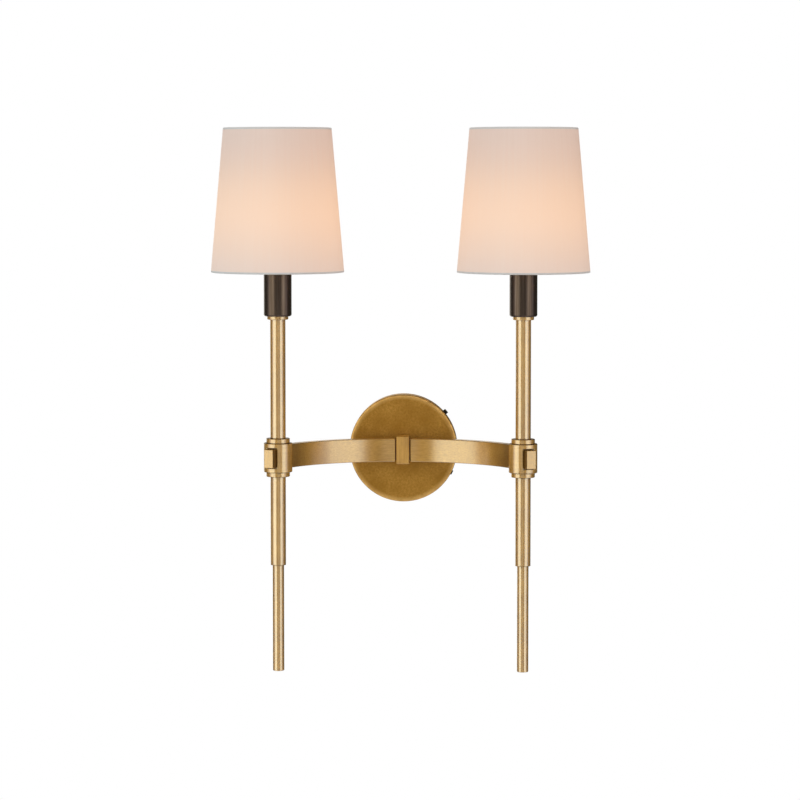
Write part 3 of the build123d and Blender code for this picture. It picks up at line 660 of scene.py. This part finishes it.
# Painted light of the bulb: emission colours by height for the cloth outside, the liner inside and the
# rims.
outer_glow = (
    (0.0, (0.350, 0.175, 0.102)),
    (0.12, (0.395, 0.185, 0.085)),
    (0.36, (0.560, 0.245, 0.072)),
    (0.60, (0.470, 0.193, 0.045)),
    (0.80, (0.322, 0.120, 0.036)),
    (1.0, (0.280, 0.110, 0.048)),
)
inner_glow = ((0.0, (0.05, 0.03, 0.01)), (0.4, (0.12, 0.07, 0.03)), (1.0, (0.05, 0.03, 0.01)))
rim_glow = ((0.0, (0.07, 0.03, 0.02)), (0.5, (0.07, 0.03, 0.02)), (1.0, (0.07, 0.03, 0.02)))
cloth_finish = cloth("shade_cloth", (0.70, 0.685, 0.67), outer_glow)
liner_finish = cloth("shade_liner", (0.82, 0.80, 0.76), inner_glow, 0.00002)
rim_finish = cloth("shade_rim", (0.74, 0.74, 0.73), rim_glow)


# %% Shade mesh
columns = 144
rows = 48
bead = 0.0011  # radius of the turned edge
bead_steps = 8
fold = 0.0021  # height of the turned-over edge as it shows outside
rim_over_wire = 0.00133  # the shade's outside over the wire ring's outside, at the top rim
shade_wall = 0.001  # cloth and liner together


def shade_profile(bottom_radius, top_radius, low, high, wall):
    """Points (radius, height, part) up the outside, over the top bead and down the inside."""
    slope = atan((bottom_radius - top_radius) / (high - low))
    points = []
    heights = [low + fold + row / rows * (high - low - 2 * fold) for row in range(rows + 1)]
    for height in [low + bead, *heights, high - bead]:
        radius = bottom_radius + (top_radius - bottom_radius) * (height - low) / (high - low)
        points.append((radius, height, "cloth" if height in heights else "rim"))
    for step in range(1, bead_steps):
        turn = pi * step / bead_steps
        radius = top_radius - bead + bead * cos(turn) * 1.1
        points.append((radius, high - bead + bead * sin(turn), "rim"))
    for row in range(rows + 1):
        share = 1 - row / rows
        height = low + bead + share * (high - low - 2 * bead)
        radius = bottom_radius + (top_radius - bottom_radius) * (height - low) / (high - low)
        points.append((radius - wall / cos(slope), height, "liner"))
    for step in range(1, bead_steps):
        turn = pi + pi * step / bead_steps
        radius = bottom_radius - bead + bead * cos(turn) * 1.1
        points.append((radius, low + bead + bead * sin(turn), "rim"))
    return points


def make_shade(side):
    """Revolve the profile into one shade, with a cloth UV map in metres measured round its bottom rim
    and up its height, and hide the imported shade.
    """
    low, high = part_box(f"{side}_shade")
    centre = (low + high) / 2
    top_low, top_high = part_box(f"{side}_shade_top_ring")
    bottom_radius = (high.x - low.x) / 2
    top_radius = (top_high.x - top_low.x) / 2 + rim_over_wire
    profile = shade_profile(bottom_radius, top_radius, low.z, high.z, shade_wall)
    mesh = bmesh.new()
    uv = mesh.loops.layers.uv.new("cloth")
    grid = []
    for column in range(columns):
        angle = tau * column / columns + pi / 2
        grid.append([
            mesh.verts.new((centre.x + r * cos(angle), centre.y + r * sin(angle), z))
            for r, z, part in profile
        ])
    slots = {"cloth": 0, "liner": 1, "rim": 2}
    count = len(profile)
    for column in range(columns):
        for row in range(count):
            after = (row + 1) % count
            corners = ((column, row), (column + 1, row), (column + 1, after), (column, after))
            face = mesh.faces.new([grid[c % columns][r] for c, r in corners])
            parts = {profile[row][2], profile[after][2]}
            face.material_index = slots["rim" if "rim" in parts else parts.pop()]
            face.smooth = True
            for loop, (c, r) in zip(face.loops, corners):
                loop[uv].uv = (tau * bottom_radius * c / columns, profile[r][1])
    bmesh.ops.recalc_face_normals(mesh, faces=mesh.faces[:])
    data = bpy.data.meshes.new(f"{side}_shade_cloth")
    mesh.to_mesh(data)
    mesh.free()
    for finish in (cloth_finish, liner_finish, rim_finish):
        data.materials.append(finish)
    piece = bpy.data.objects.new(f"{side}_shade_cloth", data)
    scene.collection.objects.link(piece)
    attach(piece, f"{side}_shade")
    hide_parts(f"{side}_shade")


for side in sides:
    make_shade(side)

# %% [markdown]
# ## Stage and light
#
# The light hangs on a white page: the world is white for the camera and for whatever the metal
# mirrors, and much dimmer as a source of light. The floor is pale paper that keeps the shadow;
# seen from below it is clear, so that it doesn't hide the light.
#
# Metal shows what stands round it, and cloth shows what falls on it, so each gets lamps of its
# own. Three tall soft boxes only show in reflections, and draw the long highlights on the tubes.
# Three fills only light the cloth and the other matt surfaces. Dark and grey cards, and two parts
# of a dark dome, are a photographer's flags: they draw the darker bands between the highlights,
# and keep the metal's edges dark against the white.

# %% World and floor
ambient = 0.27
paper_white = 0.7  # how much of the floor's brightness the camera and the mirrors see as paper


def seen_directly(tree):
    """1 for camera, mirror and glass rays, and 0 for the rays that light the matt surfaces."""
    rays = add(tree, "ShaderNodeLightPath").outputs
    seen = maths(tree, "ADD", rays["Is Camera Ray"], rays["Is Glossy Ray"])
    return maths(tree, "ADD", seen, rays["Is Transmission Ray"])


world = bpy.data.worlds.new("studio")
scene.world = world
world.use_nodes = True
tree = world.node_tree
tree.nodes.clear()
strength = spread(tree, seen_directly(tree), 0.0, 1.0, ambient, 1.0)
background = add(tree, "ShaderNodeBackground", {"Color": (1, 1, 1, 1), "Strength": strength})
add(tree, "ShaderNodeOutputWorld", {"Surface": background.outputs[0]})

floor_drop = 1.55  # a wall light hangs about this far above the floor
floor_size = 7.0


def flat_panel(name, width, height, place, aim=None):
    """A rectangle facing aim, or facing up."""
    data = bpy.data.meshes.new(name)
    quarters = ((-0.5, -0.5), (0.5, -0.5), (0.5, 0.5), (-0.5, 0.5))
    corners = [(across * width, up * height, 0.0) for across, up in quarters]
    data.from_pydata(corners, [], [(0, 1, 2, 3)])
    panel = bpy.data.objects.new(name, data)
    panel.location = place
    if aim is not None:
        panel.rotation_euler = (aim - place).to_track_quat("Z", "Y").to_euler()
    scene.collection.objects.link(panel)
    panel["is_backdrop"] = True
    return panel


floor = flat_panel("floor", floor_size, floor_size, Vector((0.0, 0.0, -floor_drop)))
floor_paint, tree, shader = new_finish("floor_paint", Roughness=0.9)
grain = noise(tree, place_of(tree), 3.0, 3.0)
pale = blend_colours(tree, grain, (0.80, 0.80, 0.79), (0.83, 0.83, 0.82))
tree.links.new(pale, shader.inputs["Base Color"])
share = spread(tree, seen_directly(tree), 0.0, 1.0, 0.0, paper_white)
paper = add(tree, "ShaderNodeEmission", {"Color": (1.0, 1.0, 1.0, 1.0), "Strength": 1.0})
mixed = add(tree, "ShaderNodeMixShader", {0: share, 1: shader.outputs[0], 2: paper.outputs[0]})
below = add(tree, "ShaderNodeNewGeometry").outputs["Backfacing"]
clear = add(tree, "ShaderNodeBsdfTransparent")
one_sided = add(tree, "ShaderNodeMixShader", {0: below, 1: mixed.outputs[0], 2: clear.outputs[0]})
tree.links.new(one_sided.outputs[0], tree.nodes["Material Output"].inputs["Surface"])
floor.data.materials.append(floor_paint)


# %% Soft boxes and flags
light_centre = (cad_low + cad_high) / 2


def around(azimuth, distance, lift=0.0):
    """A point on a circle round the light; azimuth 0 is in front, and positive to the right."""
    turn = radians(azimuth)
    return light_centre + Vector((sin(turn) * distance, -cos(turn) * distance, lift))


def soft_box(name, azimuth, distance, lift, width, height, radiance, colour, mirrored):
    """A soft box that only reflections show where mirrored is true, and else a fill."""
    data = bpy.data.lights.new(name, "AREA")
    data.shape = "RECTANGLE"
    data.size = width
    data.size_y = height
    data.energy = radiance * pi * width * height
    data.color = colour
    lamp = bpy.data.objects.new(name, data)
    lamp.location = around(azimuth, distance, lift)
    lamp.rotation_euler = (lamp.location - light_centre).to_track_quat("Z", "Y").to_euler()
    lamp.visible_camera = False
    lamp.visible_glossy = mirrored
    lamp.visible_diffuse = not mirrored
    scene.collection.objects.link(lamp)


soft_box("left_box", -50.0, 1.2, 0.1, 0.9, 1.7, 1.32, (1.0, 0.99, 0.56), True)
soft_box("right_box", 50.0, 2.0, 0.1, 1.2, 2.4, 1.08, (1.0, 0.98, 0.60), True)
soft_box("back_box", -160.0, 2.0, 0.1, 1.8, 2.2, 1.2, (1.0, 0.98, 0.88), True)
soft_box("left_fill", -58.0, 1.6, 0.1, 1.4, 2.0, 1.25, (0.78, 0.97, 1.0), False)
soft_box("right_fill", 48.0, 1.6, 0.1, 0.8, 2.0, 1.55, (1.0, 1.0, 0.93), False)
soft_box("top_fill", 0.0, 0.5, 1.6, 1.6, 1.6, 0.8, (1.0, 1.0, 1.0), False)


dome_radius = 2.6
card_height = 1.3


def card_paint(name, brightness):
    """Matt paint that shows one even brightness, whatever light falls on it."""
    return new_finish(
        name, Base_Color=(0.0, 0.0, 0.0, 1.0), Roughness=1.0, Specular_IOR_Level=0.0,
        Emission_Color=(1.0, 0.98, 0.78, 1.0), Emission_Strength=brightness,
    )[0]


def only_in_mirrors(flag):
    """Let nothing but reflections show a flag."""
    flag.visible_camera = False
    flag.visible_diffuse = False
    flag.visible_shadow = False
    flag.visible_transmission = False


def dark_dome(name, towards, half_angle, paint):
    """The part of a black dome round the light that lies within half_angle of a direction."""
    mesh = bmesh.new()
    bmesh.ops.create_uvsphere(mesh, u_segments=64, v_segments=32, radius=dome_radius)
    limit = cos(radians(half_angle))
    outside = [
        face for face in mesh.faces if face.calc_center_median().normalized().dot(towards) < limit
    ]
    bmesh.ops.delete(mesh, geom=outside, context="FACES")
    data = bpy.data.meshes.new(name)
    mesh.to_mesh(data)
    mesh.free()
    data.materials.append(paint)
    dome = bpy.data.objects.new(name, data)
    dome.location = light_centre
    only_in_mirrors(dome)
    scene.collection.objects.link(dome)
    dome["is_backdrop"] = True


def dark_card(name, azimuth, distance, width, paint):
    """A tall card that only the metal's reflections see."""
    card = flat_panel(name, width, card_height, around(azimuth, distance), light_centre)
    card.data.materials.append(paint)
    only_in_mirrors(card)


dark_dome("back_flag", Vector((0.0, 1.0, 0.0)), 93.0, card_paint("back_grey", 0.13))
dark_dome("top_flag", Vector((0.0, 0.0, 1.0)), 32.0, card_paint("top_grey", 0.04))
side_grey = card_paint("side_grey", 0.14)
dark_card("middle_card", 1.0, 1.3, 0.62, card_paint("middle_grey", 0.52))
dark_card("left_card", -21.0, 1.1, 0.30, side_grey)
dark_card("right_card", 23.0, 1.1, 0.30, side_grey)

# %% [markdown]
# ## Sizes, and the end
#
# The dressed model's box is measured against the construction's, and how much it grew is printed.
# The dressed model may not outgrow the construction.

# %% Sizes
low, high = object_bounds()
print("size grew by", [round(v * 1000, 2) for v in (high - low) - (cad_high - cad_low)], "mm")
